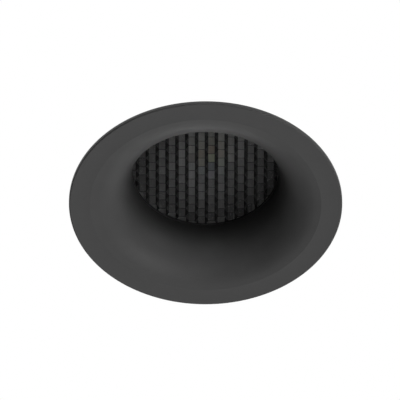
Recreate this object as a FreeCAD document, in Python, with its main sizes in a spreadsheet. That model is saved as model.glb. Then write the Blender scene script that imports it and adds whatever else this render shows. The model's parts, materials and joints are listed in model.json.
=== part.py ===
import FreeCAD, Part
import math
import os
import re

import Sketcher

# Recessed soffit downlight, millimetres. The origin is on the lamp's axis in the plane of the
# soffit's underside, where the trim's foam gasket seats. +Z goes up into the ceiling void, the
# room is below, and the two spring clips lie along X.

Vector = FreeCAD.Vector

SIZES = {
    # trim bezel: flange, trumpet flare, throat and the collar behind it
    "trim_radius": 47.5,
    "trim_thickness": 1.6,
    "trim_edge": 0.5,
    "flare_radius": 15.9,
    "throat_radius": 25.7,
    "recess_depth": 17.95,
    "shell_wall": 2.0,
    "spigot_outer": 39.5,
    "spigot_wall": 1.6,
    "spigot_rise": 4.0,
    "collar_outer": 31.5,
    "boss_radius": 3.4,
    "boss_circle": 34.5,
    "trim_screw_depth": 9.0,
    # soffit gasket
    "gasket_thickness": 1.0,
    "gasket_inner": 41.0,
    "gasket_outer": 45.0,
    # honeycomb louvre and its ring
    "louvre_depth": 6.0,
    "louvre_radius": 26.0,
    "louvre_edge_band": 0.3,
    "cell_flats": 3.966,
    "cell_wall": 0.15,
    "cell_shift_along": -1.38,
    "cell_shift_across": 0.1,
    "louvre_ring_wall": 0.95,
    "louvre_ring_lip": 0.2,
    "louvre_ring_opening": 25.3,
    "fit_clearance": 0.05,
    "circlip_wire": 1.0,
    "circlip_land": 0.8,
    # front glass and seal
    "glass_radius": 28.5,
    "glass_thickness": 3.0,
    "seal_lip": 0.5,
    "seal_lip_inner": 27.3,
    "seal_wall": 1.2,
    # heat sink
    "flange_radius": 33.5,
    "flange_cover": 3.0,
    "sink_wall_outer": 28.5,
    "chamber_radius": 26.0,
    "chamber_height": 21.0,
    "core_radius": 17.0,
    "base_thickness": 4.0,
    "fin_count": 24,
    "fin_thickness": 1.8,
    "fin_radius": 31.2,
    "fin_height": 21.0,
    "plate_thickness": 5.0,
    "plate_radius": 31.5,
    "clip_pad_face": 30.0,
    "clip_pad_half": 8.5,
    # light engine
    "board_width": 19.0,
    "board_thickness": 1.0,
    "pad_thickness": 0.3,
    "emitter_radius": 5.5,
    "emitter_thickness": 0.5,
    "holder_outer": 17.5,
    "holder_bore": 7.5,
    "holder_pocket": 13.6,
    "holder_thickness": 2.0,
    "holder_screw_circle": 15.5,
    "reflector_neck": 7.0,
    "reflector_mouth": 24.2,
    "reflector_wall": 1.0,
    "reflector_rim": 25.8,
    "reflector_rim_depth": 1.2,
    "reflector_curve": 45.0,
    # leads from the terminal block to the light engine
    "duct_offset": 11.8,
    "duct_radius": 2.2,
    "lead_radius": 0.7,
    "lead_spacing": 1.8,
    "lead_bend": 4.5,
    "lead_entry": 1.5,
    "grommet_bore": 1.75,
    "grommet_outer": 3.25,
    "grommet_rim": 4.2,
    "grommet_depth": 2.0,
    "grommet_rim_height": 1.0,
    # terminal block
    "block_length": 14.0,
    "block_front": 7.0,
    "block_back": 5.0,
    "block_height": 10.0,
    "pole_spacing": 6.0,
    "funnel_radius": 1.5,
    "funnel_depth": 2.9,
    "well_radius": 1.9,
    "well_depth": 2.6,
    "well_front": -4.2,
    "well_rear": 2.2,
    "terminal_screw_radius": 1.8,
    "terminal_screw_height": 2.0,
    "block_screw_place": -1.0,
    # wiring chamber cover
    "cover_height": 22.0,
    "cover_outer": 25.0,
    "cover_inner": 21.5,
    "cover_roof": 2.5,
    "cover_round": 2.0,
    "cover_flange": 3.0,
    "cover_screw_circle": 28.2,
    "seal_groove_inner": 22.5,
    "seal_groove_outer": 24.0,
    "seal_groove_depth": 1.2,
    # cable gland
    "gland_thread": 6.0,
    "gland_flats": 15.0,
    "gland_bore": 3.8,
    "gland_tail": 6.0,
    "gland_hex_height": 4.0,
    "gland_neck": 6.5,
    "gland_neck_height": 6.0,
    "gland_ring_thickness": 1.0,
    "gland_ring_outer": 8.0,
    "gland_seal_bore": 3.1,
    "gland_seal_outer": 4.6,
    "gland_seal_length": 6.0,
    "gland_seal_step": 1.0,
    "gland_nut_height": 8.7,
    "gland_nut_crown": 7.2,
    "gland_nut_hex": 5.7,
    "locknut_height": 3.0,
    # screws
    "screw_radius": 1.5,
    "screw_head_radius": 2.75,
    "screw_head_height": 2.0,
    "small_screw_radius": 1.25,
    "small_screw_head_radius": 2.1,
    "small_screw_head_height": 1.6,
    "socket_radius": 1.15,
    "socket_depth": 1.1,
    "cover_screw_length": 7.0,
    "holder_screw_length": 6.0,
    "block_screw_length": 7.0,
    "bracket_screw_length": 4.2,
    # clip brackets
    "bracket_sheet": 1.2,
    "bracket_reach": 8.2,
    "bracket_half_width": 8.5,
    "bracket_lift": 0.3,
    "bracket_height": 22.2,
    "ear_height": 11.7,
    "ear_round": 3.0,
    "stop_depth": 1.6,
    "bracket_screw_low": 12.7,
    "bracket_screw_high": 18.7,
    # clip arms, on pins that lie along Y
    "pin_out": 5.2,
    "pin_up": 6.0,
    "pin_radius": 1.5,
    "pin_head_radius": 2.4,
    "pin_head": 0.8,
    "pin_play": 0.2,
    "ring_groove": 1.0,
    "ring_width": 0.6,
    "ring_outer": 2.6,
    "pin_tail": 0.6,
    "arm_angle": 50.0,
    "arm_reach": 39.5,
    "arm_sheet": 1.0,
    "arm_width": 12.8,
    "web_start": 4.6,
    "cheek_radius": 2.4,
    "cheek_end": 6.5,
    "foot_start": 32.5,
    "foot_under": 1.4,
    "foot_over": 1.1,
    "foot_tip": 1.0,
    "foot_width": 14.0,
    "foot_round": 1.2,
    # torsion springs on the pins
    "spring_wire": 1.2,
    "coil_radius": 3.0,
    "coil_pitch": 1.75,
    "coil_full_turns": 4,
    "leg_reach": 14.0,
    "leg_seat": 0.03,
    "anchor_hole": 0.75,
}

# Levels and radii that follow from the sizes, as formulas in their names.
DERIVED = {
    "trim_back": "0 - gasket_thickness",
    "face": "trim_back - trim_thickness",
    "rim_inner": "throat_radius + flare_radius",
    "flare_centre": "face + flare_radius",
    "shell_radius": "flare_radius - shell_wall",
    "spigot_inner": "spigot_outer - spigot_wall",
    "spigot_floor": "flare_centre - sqrt(shell_radius^2 - (rim_inner - spigot_inner)^2)",
    "collar_foot": "flare_centre - sqrt(shell_radius^2 - (rim_inner - collar_outer)^2)",
    "louvre_seat": "face + recess_depth",
    "louvre_face": "louvre_seat + louvre_ring_lip",
    "louvre_ring_outer": "louvre_radius + fit_clearance + louvre_ring_wall",
    "louvre_bore": "louvre_ring_outer + 2 * fit_clearance",
    "groove_low": "louvre_seat + louvre_depth + 2 * louvre_ring_lip",
    "groove_high": "groove_low + circlip_wire",
    "collar_top": "groove_high + circlip_land",
    "glass_under": "collar_top + seal_lip",
    "glass_top": "glass_under + glass_thickness",
    "seal_top": "glass_top + seal_lip",
    "seal_outer": "glass_radius + seal_wall",
    "flange_top": "seal_top + flange_cover",
    "chamber_roof": "seal_top + chamber_height",
    "base_top": "chamber_roof + base_thickness",
    "plate_under": "base_top + fin_height",
    "plate_top": "plate_under + plate_thickness",
    "board_top": "chamber_roof - pad_thickness",
    "board_under": "board_top - board_thickness",
    "holder_under": "board_under - holder_thickness",
    "lead_level": "plate_top + grommet_rim_height + fit_clearance + lead_bend",
    "cover_top": "plate_top + cover_height",
    "gland_seat": "cover_top + gland_ring_thickness",
    "gland_hex_top": "gland_seat + gland_hex_height",
    "gland_neck_top": "gland_hex_top + gland_neck_height",
    "gland_seal_under": "gland_hex_top + gland_seal_step",
    "gland_seal_top": "gland_seal_under + gland_seal_length",
    "gland_corner": "gland_flats / sqrt(3)",
    "pin_x": "clip_pad_face + pin_out",
    "pin_z": "flange_top + bracket_lift + pin_up",
    "bracket_foot": "flange_top + bracket_lift",
    "ear_inner": "bracket_half_width - bracket_sheet",
    "ring_place": "bracket_half_width + pin_play + 0.1",
    "half_web": "arm_sheet / 2",
    "coil_half_length": "coil_pitch * (coil_full_turns + 0.2) / 2",
    "anchor_slope": "coil_pitch / (2 * pi * coil_radius)",
    "anchor_place": "coil_half_length + anchor_slope * (pin_out - bracket_sheet / 2)",
}

NAME = re.compile(r"[A-Za-z_][A-Za-z_0-9]*")

doc = FreeCAD.newDocument("SoffitDownlight")
sheet = doc.addObject("Spreadsheet::Sheet", "Sizes")
for row, (alias, size) in enumerate(SIZES.items(), start=1):
    sheet.set(f"A{row}", alias.replace("_", " "))
    sheet.set(f"B{row}", str(size))
    sheet.setAlias(f"B{row}", alias)
doc.recompute()


def cells(formula):
    """A formula in size names, written out in the sheet's cells."""
    def word(match):
        name = match.group(0)
        if name in DERIVED:
            return "(" + cells(DERIVED[name]) + ")"
        return "Sizes." + name if name in SIZES else name
    return NAME.sub(word, str(formula))


def number(formula):
    """What a formula comes to with the sheet's present sizes."""
    return float(sheet.evalExpression(cells(formula)))


def bind(item, path, formula):
    """Tie one property to the sheet."""
    item.setExpression(path, cells(formula))


def new_body(label, turned=False):
    """An empty body; turned puts it on the -X side, half a turn about Z."""
    body = doc.addObject("PartDesign::Body", label)
    body.Label = label
    if turned:
        body.Placement = FreeCAD.Placement(Vector(), FreeCAD.Rotation(Vector(0, 0, 1), 180))
    return body


def attach(body, item, plane, offset, turn=0):
    """Put a sketch or primitive on one of its body's planes, offset in the plane's own axes."""
    origin = [f for f in body.Origin.OriginFeatures if f.Role == plane][0]
    item.AttachmentSupport = (origin, [""])
    item.MapMode = "FlatFace"
    for axis, formula in zip("xyz", offset):
        bind(item, f"AttachmentOffset.Base.{axis}", formula)
    if turn:
        bind(item, "AttachmentOffset.Rotation.Angle", turn)


def origin_axis(body, role):
    return ([f for f in body.Origin.OriginFeatures if f.Role == role][0], [""])


def pin_point(sketch, geometry, end, x, y):
    """Hold one sketch point at formulas from the sketch's origin."""
    for kind, formula, axis in (("DistanceX", x, -2), ("DistanceY", y, -1)):
        if str(formula) == "0":
            sketch.addConstraint(Sketcher.Constraint("PointOnObject", geometry, end, axis))
            continue
        index = sketch.addConstraint(
            Sketcher.Constraint(kind, -1, 1, geometry, end, number(formula)))
        bind(sketch, f"Constraints[{index}]", formula)


def outline(body, plane, points, offset=("0", "0", "0"), turn=0):
    """A closed sketch through points (x, y) or (x, y, radius, sense).

    Radius and sense bend the edge to the next point: sense 1 is counterclockwise, -1 clockwise.
    """
    sketch = body.newObject("Sketcher::SketchObject", body.Label + "_sketch")
    attach(body, sketch, plane, offset, turn)
    spots = [Vector(number(p[0]), number(p[1]), 0) for p in points]
    ends = []
    for index, point in enumerate(points):
        start, stop = spots[index], spots[(index + 1) % len(points)]
        if len(point) == 2:
            sketch.addGeometry(Part.LineSegment(start, stop))
            ends.append((1, 2))
            continue
        radius, sense = number(point[2]), point[3]
        chord = stop - start
        rise = math.sqrt(max(radius ** 2 - chord.Length ** 2 / 4, 0.0))
        side = Vector(-chord.y, chord.x, 0).normalize()
        centre = (start + stop) * 0.5 + side * (rise * sense)
        first, last = (start, stop) if sense > 0 else (stop, start)
        angles = [math.atan2(p.y - centre.y, p.x - centre.x) for p in (first, last)]
        circle = Part.Circle(centre, Vector(0, 0, 1), radius)
        sketch.addGeometry(Part.ArcOfCircle(circle, angles[0], angles[1]))
        ends.append((1, 2) if sense > 0 else (2, 1))
    for index, point in enumerate(points):
        after = (index + 1) % len(points)
        sketch.addConstraint(
            Sketcher.Constraint("Coincident", index, ends[index][1], after, ends[after][0]))
        pin_point(sketch, index, ends[index][0], point[0], point[1])
        if len(point) == 4:
            bend = sketch.addConstraint(Sketcher.Constraint("Radius", index, number(point[2])))
            bind(sketch, f"Constraints[{bend}]", point[2])
    return sketch


def disc(body, plane, x, y, radius, offset=("0", "0", "0"), turn=0):
    """A sketch of one circle."""
    sketch = body.newObject("Sketcher::SketchObject", body.Label + "_circle")
    attach(body, sketch, plane, offset, turn)
    centre = Vector(number(x), number(y), 0)
    sketch.addGeometry(Part.Circle(centre, Vector(0, 0, 1), number(radius)))
    pin_point(sketch, 0, 3, x, y)
    size = sketch.addConstraint(Sketcher.Constraint("Radius", 0, number(radius)))
    bind(sketch, f"Constraints[{size}]", radius)
    return sketch


def turned(body, sketch, axis="V_Axis", cut=False, angle=360.0):
    """A sketch turned about its own upright or level axis."""
    kind = "PartDesign::Groove" if cut else "PartDesign::Revolution"
    feature = body.newObject(kind, body.Label + "_turning")
    feature.Profile = sketch
    feature.ReferenceAxis = (sketch, [axis])
    feature.Angle = angle
    sketch.Visibility = False
    return feature


def spread(body, sketch, width, cut=False):
    """A pad or pocket that reaches half its width to each side of its sketch."""
    kind = "PartDesign::Pocket" if cut else "PartDesign::Pad"
    feature = body.newObject(kind, body.Label + "_sheet")
    feature.Profile = sketch
    feature.Midplane = True
    bind(feature, "Length", width)
    sketch.Visibility = False
    return feature


def solid(body, kind, place, plane="XY_Plane", **sizes):
    """An additive or subtractive primitive of the body, such as AdditiveBox."""
    feature = body.newObject("PartDesign::" + kind, body.Label + "_" + kind.lower())
    attach(body, feature, plane, place)
    for name, formula in sizes.items():
        if name == "Polygon":
            feature.Polygon = formula
        else:
            bind(feature, name, formula)
    return feature


def around(body, features, count):
    """Repeat features evenly about the lamp's axis."""
    pattern = body.newObject("PartDesign::PolarPattern", body.Label + "_pattern")
    pattern.Originals = features
    pattern.Axis = origin_axis(body, "Z_Axis")
    pattern.Angle = 360.0
    if count in SIZES:
        bind(pattern, "Occurrences", count)
    else:
        pattern.Occurrences = int(count)
    body.Tip = pattern
    return pattern


def ring(label, inner, outer, low, high):
    """A flat ring or disc of rectangular section."""
    body = new_body(label)
    section = [(inner, low), (outer, low), (outer, high), (inner, high)]
    turned(body, outline(body, "XZ_Plane", section))
    return body


def screw(body, place, radius, head, head_height, length, axis="up"):
    """One pan-head screw with a hexagon socket; place is its head's seat, x, y, z.

    Axis "up" puts the head above the shank, "down" below it and "out" towards +X.
    """
    x, y, z = place
    sense = "-" if axis == "down" else ""
    spots = [("0", f"-({length})"), (radius, f"-({length})"), (radius, "0"), (head, "0"),
             (head, f"{head_height} - 0.4", "0.4", 1), (f"{head} - 0.4", head_height),
             ("0", head_height)]
    if axis == "down":
        spots = [("0", length), (radius, length), (radius, "0"), (head, "0"),
                 (head, f"-({head_height} - 0.4)", "0.4", -1),
                 (f"{head} - 0.4", f"-({head_height})"), ("0", f"-({head_height})")]
    if axis == "out":
        spots = [(f"-({length})", "0"), (f"-({length})", radius), ("0", radius), ("0", head),
                 (f"{head_height} - 0.4", head, "0.4", -1), (head_height, f"{head} - 0.4"),
                 (head_height, "0")]
    section = outline(body, "XZ_Plane", spots, (x, z, f"-({y})"))
    shank = turned(body, section, "H_Axis" if axis == "out" else "V_Axis")
    depth = {"Height": "socket_depth + 1", "Circumradius": "socket_radius", "Polygon": 6}
    if axis == "out":
        start = f"{x} + {head_height} - socket_depth"
        socket = solid(body, "SubtractivePrism", (y, z, start), "YZ_Plane", **depth)
    else:
        start = f"{z} + {head_height} - socket_depth"
        if axis == "down":
            start = f"{z} - {head_height} - 1"
        socket = solid(body, "SubtractivePrism", (x, y, start), **depth)
    return [shank, socket]


def trim_bezel():
    """Flange, locating spigot, flared shell and collar, with three blind screw bosses."""
    body = new_body("trim_bezel")
    turned(body, outline(body, "XZ_Plane", [
        ("0", "face"),
        ("trim_radius - trim_edge", "face", "trim_edge", 1),
        ("trim_radius", "face + trim_edge"),
        ("trim_radius", "trim_back"),
        ("spigot_outer", "trim_back"),
        ("spigot_outer", "spigot_rise"),
        ("spigot_inner", "spigot_rise"),
        ("spigot_inner", "spigot_floor", "shell_radius", -1),
        ("collar_outer", "collar_foot"),
        ("collar_outer", "collar_top"),
        ("0", "collar_top"),
    ]))
    boss = solid(body, "AdditiveCylinder", ("0", "boss_circle", "trim_back"),
                 Radius="boss_radius", Height="collar_top - trim_back")
    around(body, [boss], 3)
    turned(body, outline(body, "XZ_Plane", [
        ("0", "face - 1"),
        ("rim_inner", "face - 1"),
        ("rim_inner", "face", "flare_radius", -1),
        ("throat_radius", "flare_centre"),
        ("throat_radius", "louvre_seat"),
        ("louvre_bore", "louvre_seat"),
        ("louvre_bore", "groove_low"),
        ("louvre_bore + circlip_wire / 2 + fit_clearance", "groove_low"),
        ("louvre_bore + circlip_wire / 2 + fit_clearance", "groove_high"),
        ("louvre_bore", "groove_high"),
        ("louvre_bore", "collar_top + 1"),
        ("0", "collar_top + 1"),
    ]), cut=True)
    hole = solid(body, "SubtractiveCylinder", ("0", "boss_circle", "collar_top - trim_screw_depth"),
                 Radius="screw_radius + fit_clearance", Height="trim_screw_depth + 1")
    around(body, [hole], 3)


def louvre_honeycomb():
    """A disc of hexagonal cells, flats across Y, cut off at the disc's edge band."""
    cell = doc.addObject("Part::Feature", "louvre_honeycomb")
    cell.Label = "louvre_honeycomb"
    radius, depth = number("louvre_radius"), number("louvre_depth")
    flats = number("cell_flats")
    corner = (flats - number("cell_wall")) / math.sqrt(3)
    column_step = flats * math.sqrt(3) / 2
    reach = int(radius / column_step) + 2
    cells_cut = []
    for column in range(-reach, reach + 1):
        x = number("cell_shift_along") + column * column_step
        shift = number("cell_shift_across") + (flats / 2 if column % 2 else 0.0)
        for row_index in range(-reach, reach + 1):
            y = shift + row_index * flats
            if math.hypot(x, y) > radius + corner:
                continue
            corners = [Vector(x + corner * math.cos(math.radians(60 * k)),
                              y + corner * math.sin(math.radians(60 * k)), -1) for k in range(6)]
            face = Part.Face(Part.makePolygon(corners + corners[:1]))
            cells_cut.append(face.extrude(Vector(0, 0, depth + 2)))
    bore = Part.makeCylinder(radius - number("louvre_edge_band"), depth + 2, Vector(0, 0, -1))
    openings = Part.makeCompound(cells_cut).common(bore)
    cell.Shape = Part.makeCylinder(radius, depth).cut(openings)
    cell.Placement = FreeCAD.Placement(Vector(0, 0, number("louvre_face")), FreeCAD.Rotation())


def louvre_ring():
    """A thin channel rolled round the honeycomb's edge."""
    body = new_body("louvre_ring")
    inner = "louvre_radius + fit_clearance"
    turned(body, outline(body, "XZ_Plane", [
        ("louvre_ring_opening", "louvre_seat"),
        ("louvre_ring_outer", "louvre_seat"),
        ("louvre_ring_outer", "groove_low"),
        ("louvre_ring_opening", "groove_low"),
        ("louvre_ring_opening", "groove_low - louvre_ring_lip"),
        (inner, "groove_low - louvre_ring_lip"),
        (inner, "louvre_face"),
        ("louvre_ring_opening", "louvre_face"),
    ]))


def louvre_circlip():
    """Round-wire snap ring, open by a few degrees, in the collar's groove."""
    body = new_body("louvre_circlip")
    section = disc(body, "XZ_Plane", "louvre_bore", "groove_low + circlip_wire / 2",
                   "circlip_wire / 2")
    turned(body, section, angle=344.0)


def glass_seal():
    """Silicone channel round the glass, squeezed between collar and heat sink."""
    body = new_body("glass_seal")
    turned(body, outline(body, "XZ_Plane", [
        ("seal_lip_inner", "collar_top"),
        ("seal_outer", "collar_top"),
        ("seal_outer", "seal_top"),
        ("seal_lip_inner", "seal_top"),
        ("seal_lip_inner", "glass_top"),
        ("glass_radius", "glass_top"),
        ("glass_radius", "glass_under"),
        ("seal_lip_inner", "glass_under"),
    ]))


def heat_sink():
    """Cast housing: flange and lugs, lamp chamber, solid core, fins and a closing plate."""
    body = new_body("heat_sink")
    turned(body, outline(body, "XZ_Plane", [
        ("0", "collar_top"),
        ("flange_radius", "collar_top"),
        ("flange_radius", "flange_top"),
        ("sink_wall_outer", "flange_top"),
        ("sink_wall_outer", "base_top"),
        ("core_radius", "base_top"),
        ("core_radius", "plate_under"),
        ("plate_radius", "plate_under"),
        ("plate_radius", "plate_top"),
        ("0", "plate_top"),
    ]))
    lug = solid(body, "AdditiveCylinder", ("0", "boss_circle", "collar_top"),
                Radius="boss_radius", Height="flange_top - collar_top")
    around(body, [lug], 3)
    fin = solid(body, "AdditiveBox", ("core_radius - 2", "-fin_thickness / 2", "flange_top - 1"),
                Length="fin_radius - core_radius + 2", Width="fin_thickness",
                Height="plate_under - flange_top + 2")
    around(body, [fin], "fin_count")
    pad_foot = "flange_top - 1"
    pad = solid(body, "AdditiveBox", ("clip_pad_face - 6", "-clip_pad_half", pad_foot),
                Length="6", Width="2 * clip_pad_half", Height="bracket_height + 1.5")
    around(body, [pad], 2)
    clear = "clip_pad_half + 1.4"
    relief = solid(body, "SubtractiveBox", ("clip_pad_face", f"-({clear})", "flange_top"),
                   Length="6", Width=f"2 * ({clear})", Height="bracket_height + 1.5")
    around(body, [relief], 2)
    solid(body, "SubtractiveCylinder", ("0", "0", "collar_top - 1"),
          Radius="chamber_radius", Height="chamber_roof - collar_top + 1")
    solid(body, "SubtractiveCylinder", ("0", "0", "collar_top - 1"),
          Radius="seal_outer + 2 * fit_clearance", Height="seal_top - collar_top + 1")
    trim_hole = solid(body, "SubtractiveCylinder", ("0", "boss_circle", "collar_top - 1"),
                      Radius="screw_radius + 2 * fit_clearance", Height="flange_top - collar_top + 2")
    cover_hole = solid(body, "SubtractiveCylinder",
                       ("0", "cover_screw_circle", "plate_top + cover_flange - cover_screw_length"),
                       Radius="screw_radius + fit_clearance", Height="cover_screw_length")
    around(body, [trim_hole, cover_hole], 3)
    deep = "bracket_screw_length - bracket_sheet"
    for level in ("bracket_screw_low", "bracket_screw_high"):
        for start in (f"clip_pad_face - ({deep})", "-clip_pad_face - 1"):
            solid(body, "SubtractiveCylinder", ("0", f"bracket_foot + {level}", start), "YZ_Plane",
                  Radius="screw_radius + fit_clearance", Height=f"{deep} + 1")
    holder_hole = solid(body, "SubtractiveCylinder", ("holder_screw_circle", "0", "chamber_roof - 1"),
                        Radius="small_screw_radius + fit_clearance",
                        Height="holder_screw_length - (chamber_roof - holder_under) + 1")
    around(body, [holder_hole], 2)
    solid(body, "SubtractiveCylinder", ("0", "-duct_offset", "chamber_roof - 1"),
          Radius="duct_radius", Height="plate_top - chamber_roof + 2")
    solid(body, "SubtractiveCylinder", ("0", "-duct_offset", "plate_top - grommet_depth"),
          Radius="grommet_outer + fit_clearance", Height="grommet_depth + 1")
    solid(body, "SubtractiveCylinder",
          ("0", "block_screw_place", "plate_top + 4 - block_screw_length"),
          Radius="small_screw_radius + fit_clearance", Height="block_screw_length")
    groove = [("seal_groove_inner - fit_clearance", "plate_top - seal_groove_depth"),
              ("seal_groove_outer + fit_clearance", "plate_top - seal_groove_depth"),
              ("seal_groove_outer + fit_clearance", "plate_top + 1"),
              ("seal_groove_inner - fit_clearance", "plate_top + 1")]
    turned(body, outline(body, "XZ_Plane", groove), cut=True)


def screw_circle(body, circle, count, first, seat, *sizes):
    """Like screws evenly spaced on a circle about the lamp's axis, the first at an angle."""
    for index in range(count):
        angle = first + 360 * index / count
        screw(body, (f"{circle} * cos({angle})", f"{circle} * sin({angle})", seat), *sizes)


def screw_sets():
    """The groups of like screws that stand upright, each group one body."""
    large = ("screw_radius", "screw_head_radius", "screw_head_height")
    small = ("small_screw_radius", "small_screw_head_radius", "small_screw_head_height")
    screw_circle(new_body("trim_screws"), "boss_circle", 3, 90, "flange_top", *large,
                 "flange_top - collar_top + trim_screw_depth - 1")
    screw_circle(new_body("rear_cover_screws"), "cover_screw_circle", 3, 90,
                 "plate_top + cover_flange", *large, "cover_screw_length")
    screw_circle(new_body("holder_screws"), "holder_screw_circle", 2, 0, "holder_under", *small,
                 "holder_screw_length", "down")
    screw(new_body("terminal_fixing_screw"), ("0", "block_screw_place", "plate_top + 4"),
          *small, "block_screw_length")


def light_engine():
    """Thermal pad, LED board, round emitter, and the plastic holder that clamps them."""
    for label, low, high in (("thermal_pad", "board_top", "pad_thickness"),
                             ("cob_board", "board_under", "board_thickness")):
        body = new_body(label)
        solid(body, "AdditiveBox", ("-board_width / 2", "-board_width / 2", low),
              Length="board_width", Width="board_width", Height=high)
    ring("cob_emitter", "0", "emitter_radius", "board_under - emitter_thickness", "board_under")
    body = new_body("cob_holder")
    turned(body, outline(body, "XZ_Plane", [
        ("holder_bore", "holder_under"),
        ("holder_outer", "holder_under"),
        ("holder_outer", "chamber_roof"),
        ("holder_pocket", "chamber_roof"),
        ("holder_pocket", "board_under"),
        ("holder_bore", "board_under"),
    ]))
    screw_hole = solid(body, "SubtractiveCylinder", ("holder_screw_circle", "0", "holder_under - 1"),
                       Radius="small_screw_radius + 2 * fit_clearance",
                       Height="chamber_roof - holder_under + 2")
    around(body, [screw_hole], 2)
    for side in ("lead_spacing / 2", "-lead_spacing / 2"):
        solid(body, "SubtractiveCylinder", (side, "-duct_offset", "holder_under + 0.3"),
              Radius="lead_radius + fit_clearance", Height="holder_thickness")


def reflector():
    """Spun reflector cone from the emitter's edge to the glass, with a rim that rests on it."""
    body = new_body("reflector")
    turned(body, outline(body, "XZ_Plane", [
        ("reflector_rim", "glass_top"),
        ("reflector_rim", "glass_top + reflector_rim_depth"),
        ("reflector_mouth + reflector_wall", "glass_top + reflector_rim_depth",
         "reflector_curve", 1),
        ("reflector_neck + reflector_wall", "holder_under"),
        ("reflector_neck", "holder_under", "reflector_curve", -1),
        ("reflector_mouth", "glass_top"),
    ]))


def wire_grommet():
    """Flanged bush where the two leads leave the wiring chamber."""
    body = new_body("wire_grommet")
    section = [("grommet_bore", f"-grommet_depth"), ("grommet_outer", "-grommet_depth"),
               ("grommet_outer", "0"), ("grommet_rim", "0"),
               ("grommet_rim", "grommet_rim_height"), ("grommet_bore", "grommet_rim_height")]
    turned(body, outline(body, "XZ_Plane", section, ("0", "plate_top", "duct_offset")))


def lead(label, side):
    """One insulated lead: up the duct, round one bend and into its terminal."""
    spacing, bend = number("lead_spacing") / 2 * side, number("lead_bend")
    foot = Vector(spacing, -number("duct_offset"), number("holder_under") + 0.4)
    level = number("lead_level")
    start = Vector(foot.x, foot.y, level - bend)
    terminal = Vector(number("pole_spacing") / 2 * side, -number("block_front"), level)
    heading = (terminal - Vector(foot.x, foot.y, level)).normalize()
    centre = start + heading * bend
    finish = centre + Vector(0, 0, bend)
    middle = centre + (Vector(0, 0, 1) - heading) * (bend / math.sqrt(2))
    tip = terminal + heading * number("lead_entry")
    path = Part.Wire([Part.LineSegment(foot, start).toShape(),
                      Part.Arc(start, middle, finish).toShape(),
                      Part.LineSegment(finish, tip).toShape()])
    radius = number("lead_radius")
    section = Part.Wire(Part.makeCircle(radius, foot, Vector(0, 0, 1)))
    item = doc.addObject("Part::Feature", label)
    item.Label = label
    item.Shape = path.makePipeShell([section], True, False)
    item.Placement = FreeCAD.Placement()
    expected = math.pi * radius ** 2 * path.Length
    print(f"{label}: bend {bend:.1f} mm, volume {item.Shape.Volume:.1f} of {expected:.1f} mm3")


def terminal_block():
    """Two-pole screw terminal: funnels at both ends, wells on top for the screws."""
    body = new_body("terminal_block")
    solid(body, "AdditiveBox", ("-block_length / 2", "-block_front", "plate_top"),
          Length="block_length", Width="block_front + block_back", Height="block_height")
    for side in ("pole_spacing / 2", "-pole_spacing / 2"):
        # A cylinder on the XZ plane runs towards -Y, so its place is given as -Y.
        solid(body, "SubtractiveCylinder", (side, "lead_level", "block_front - funnel_depth"),
              "XZ_Plane", Radius="funnel_radius", Height="funnel_depth + 1")
        solid(body, "SubtractiveCylinder", (side, "lead_level", "-block_back - 1"),
              "XZ_Plane", Radius="funnel_radius", Height="funnel_depth + 1")
        for place in ("well_front", "well_rear"):
            solid(body, "SubtractiveCylinder",
                  (side, place, "plate_top + block_height - well_depth"),
                  Radius="well_radius", Height="well_depth + 1")
    solid(body, "SubtractiveCylinder", ("0", "block_screw_place", "plate_top - 1"),
          Radius="small_screw_radius + 2 * fit_clearance", Height="block_height + 2")
    solid(body, "SubtractiveCylinder", ("0", "block_screw_place", "plate_top + 4"),
          Radius="small_screw_head_radius + 2 * fit_clearance", Height="block_height")
    body = new_body("terminal_screws")
    for side in ("pole_spacing / 2", "-pole_spacing / 2"):
        for place in ("well_front", "well_rear"):
            top = "plate_top + block_height - well_depth + terminal_screw_height"
            solid(body, "AdditiveCylinder",
                  (side, place, "plate_top + block_height - well_depth"),
                  Radius="terminal_screw_radius", Height="terminal_screw_height")
            solid(body, "SubtractiveBox", (f"{side} - 0.25", f"{place} - 2", f"{top} - 0.6"),
                  Length="0.5", Width="4", Height="1")


def rear_cover():
    """Cup over the wiring chamber, with a screw flange and the gland's hole in its roof."""
    body = new_body("rear_cover")
    hole = "gland_thread + fit_clearance"
    turned(body, outline(body, "XZ_Plane", [
        ("cover_inner", "plate_top"),
        ("plate_radius - 0.3", "plate_top"),
        ("plate_radius - 0.3", "plate_top + cover_flange"),
        ("cover_outer", "plate_top + cover_flange"),
        ("cover_outer", "cover_top - cover_round", "cover_round", 1),
        ("cover_outer - cover_round", "cover_top"),
        (hole, "cover_top"),
        (hole, "cover_top - cover_roof"),
        ("cover_inner", "cover_top - cover_roof"),
    ]))
    screw_hole = solid(body, "SubtractiveCylinder", ("0", "cover_screw_circle", "plate_top - 1"),
                       Radius="screw_radius + 2 * fit_clearance", Height="cover_flange + 2")
    around(body, [screw_hole], 3)


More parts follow.
